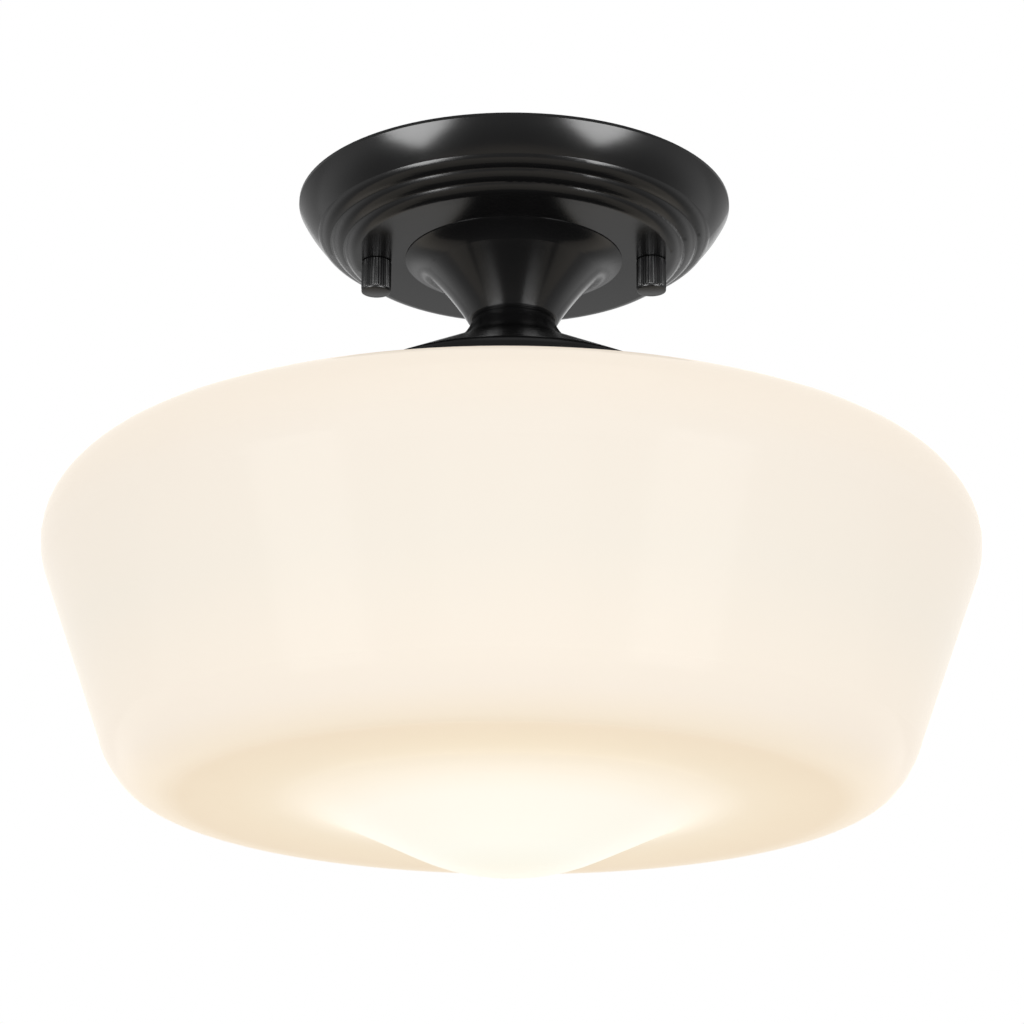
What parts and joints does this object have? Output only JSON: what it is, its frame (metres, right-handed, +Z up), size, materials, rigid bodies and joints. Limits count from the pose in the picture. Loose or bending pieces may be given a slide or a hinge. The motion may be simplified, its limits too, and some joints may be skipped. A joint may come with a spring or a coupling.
{
  "type": "semi flush ceiling light",
  "caption": "Semi flush ceiling light: a ridged round canopy, a trumpet neck and a spun fitter that carry a wide closed opal glass shade with a small dome under it, over a screw-base bulb.",
  "frame": {"origin": "centre of the canopy's rim on the ceiling plane, which is also the top face of the crossbar, midway between its two box screw slots", "axes": "+Z up into the ceiling; +X along the crossbar, through the two canopy nuts; the light hangs down along -Z and its front is towards -Y"},
  "size_m": [0.2912, 0.2912, 0.2193],
  "materials": {
    "black_canopy": "satin black paint on spun steel",
    "black_bell": "satin black paint on spun steel",
    "black_fitter": "satin black paint on spun steel",
    "black_cap_nuts": "satin black, finely knurled",
    "black_thumb_screws": "satin black, knurled heads",
    "opal_glass": "glossy milk-white opal glass, warm when lit",
    "zinc_bar": "zinc plated strip",
    "zinc_hardware": "zinc plated nuts and washers",
    "nipple_steel": "zinc plated threaded tube",
    "ground_green": "green grounding screw",
    "socket_cap_steel": "plated steel cap",
    "porcelain": "white glazed porcelain",
    "shell_metal": "rolled screw shell",
    "contact_brass": "brass contact",
    "frosted_glass": "frosted bulb glass",
    "clear_glass": "clear glass mount inside the bulb",
    "base_metal": "rolled bulb base",
    "base_insulator": "black vitrified glass",
    "tip_solder": "tinned tip",
    "filament_wire": "tungsten on nickel wires",
    "black_insulation": "wire insulation",
    "white_insulation": "wire insulation",
    "connector_plastic": "moulded twist-on caps"
  },
  "bodies": {
    "fixture": {"canopy": "black_canopy", "neck_bell": "black_bell", "shade_fitter": "black_fitter", "weld_nuts": "black_fitter", "crossbar": "zinc_bar", "mounting_studs": "zinc_hardware", "stud_nuts": "zinc_hardware", "canopy_star_washer": "zinc_hardware", "canopy_hex_nut": "zinc_hardware", "fitter_star_washer": "zinc_hardware", "fitter_hex_nut": "zinc_hardware", "stem_nipple": "nipple_steel", "ground_screw": "ground_green", "socket_cap": "socket_cap_steel", "socket_body": "porcelain", "socket_screw_shell": "shell_metal", "socket_contact": "contact_brass", "black_lead": "black_insulation", "white_lead": "white_insulation", "wire_connectors": "connector_plastic"},
    "shade": {"glass_shade": "opal_glass"},
    "bulb": {"bulb_globe": "frosted_glass", "bulb_screw_base": "base_metal", "bulb_insulator": "base_insulator", "bulb_contact": "tip_solder", "bulb_stem": "clear_glass", "bulb_filament": "filament_wire"},
    "cap_nut_left": {"cap_nut_left": "black_cap_nuts"},
    "cap_nut_right": {"cap_nut_right": "black_cap_nuts"},
    "thumb_screw_left": {"thumb_screw_left": "black_thumb_screws"},
    "thumb_screw_right": {"thumb_screw_right": "black_thumb_screws"},
    "thumb_screw_rear": {"thumb_screw_rear": "black_thumb_screws"}
  },
  "joints": [
    {"name": "shade_drop", "type": "slide", "parent": "fixture", "child": "shade", "axis": [0, 0, -1], "range_m": [0, 0.018]},
    {"name": "bulb_out", "type": "slide", "parent": "fixture", "child": "bulb", "axis": [0, 0, -1], "range_m": [0, 0.028]},
    {"name": "cap_nut_left_off", "type": "slide", "parent": "fixture", "child": "cap_nut_left", "axis": [0, 0, -1], "range_m": [0, 0.008]},
    {"name": "cap_nut_right_off", "type": "slide", "parent": "fixture", "child": "cap_nut_right", "axis": [0, 0, -1], "range_m": [0, 0.008]},
    {"name": "thumb_screw_left_out", "type": "slide", "parent": "fixture", "child": "thumb_screw_left", "axis": [-0.866, -0.5, 0], "range_m": [0, 0.0054]},
    {"name": "thumb_screw_right_out", "type": "slide", "parent": "fixture", "child": "thumb_screw_right", "axis": [0.866, -0.5, 0], "range_m": [0, 0.0054]},
    {"name": "thumb_screw_rear_out", "type": "slide", "parent": "fixture", "child": "thumb_screw_rear", "axis": [0, 1, 0], "range_m": [0, 0.0054]}
  ],
  "couplings": [
    {"joint": "thumb_screw_left_out", "follows": "shade_drop", "ratio": 0.3},
    {"joint": "thumb_screw_right_out", "follows": "shade_drop", "ratio": 0.3},
    {"joint": "thumb_screw_rear_out", "follows": "shade_drop", "ratio": 0.3}
  ]
}
